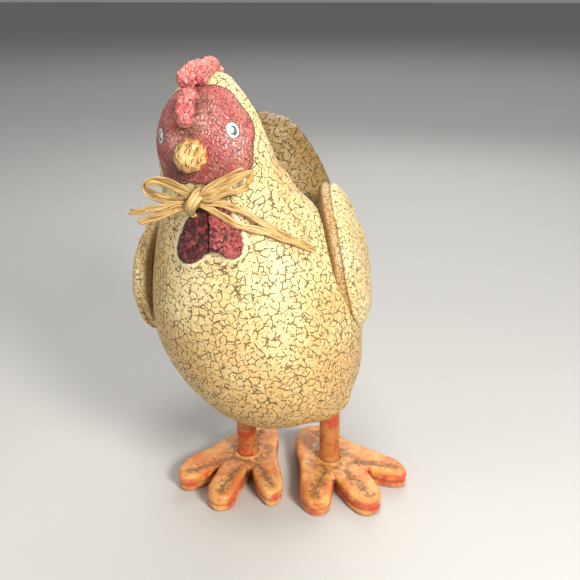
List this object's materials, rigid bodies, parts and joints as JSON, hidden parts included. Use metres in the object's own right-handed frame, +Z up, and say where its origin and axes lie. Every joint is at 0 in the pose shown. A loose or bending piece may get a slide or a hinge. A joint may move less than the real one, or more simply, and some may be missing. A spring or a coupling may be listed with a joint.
{
  "type": "decorative hen figure",
  "caption": "Standing folk-art hen with a crackled cream papier-mache body, red comb, face and wattles, a raffia bow, and painted wooden dowel legs on flat toed feet.",
  "frame": {"origin": "centre of the overall bounding box in X and Y, on the surface the soles rest on", "axes": "+Z up, the hen faces -Y, her left side is +X"},
  "size_m": [0.1562, 0.1484, 0.2439],
  "materials": {
    "crackle_papier_mache": "satin",
    "red_papier_mache": "satin",
    "ochre_papier_mache": "satin",
    "painted_wood": "satin",
    "bare_timber": "matte",
    "raffia": "matte",
    "screw_steel": "satin"
  },
  "bodies": {
    "root": {"left_foot": "painted_wood", "left_leg_dowel": "painted_wood", "left_foot_screw": "screw_steel", "right_foot": "painted_wood", "right_leg_dowel": "painted_wood", "right_foot_screw": "screw_steel", "body_front_shell": "crackle_papier_mache", "body_rear_shell": "crackle_papier_mache", "leg_block": "bare_timber", "tail_fan": "crackle_papier_mache", "left_wing": "crackle_papier_mache", "right_wing": "crackle_papier_mache", "comb_front_lobe": "red_papier_mache", "comb_middle_lobe": "red_papier_mache", "comb_rear_lobe": "red_papier_mache", "beak": "ochre_papier_mache", "left_wattle": "red_papier_mache", "right_wattle": "red_papier_mache", "bow_knot": "raffia", "bow_loop_right": "raffia", "bow_loop_left": "raffia", "bow_tail_right_upper": "raffia", "bow_tail_right_lower": "raffia", "bow_tail_left_upper": "raffia", "bow_tail_left_lower": "raffia"}
  },
  "joints": []
}
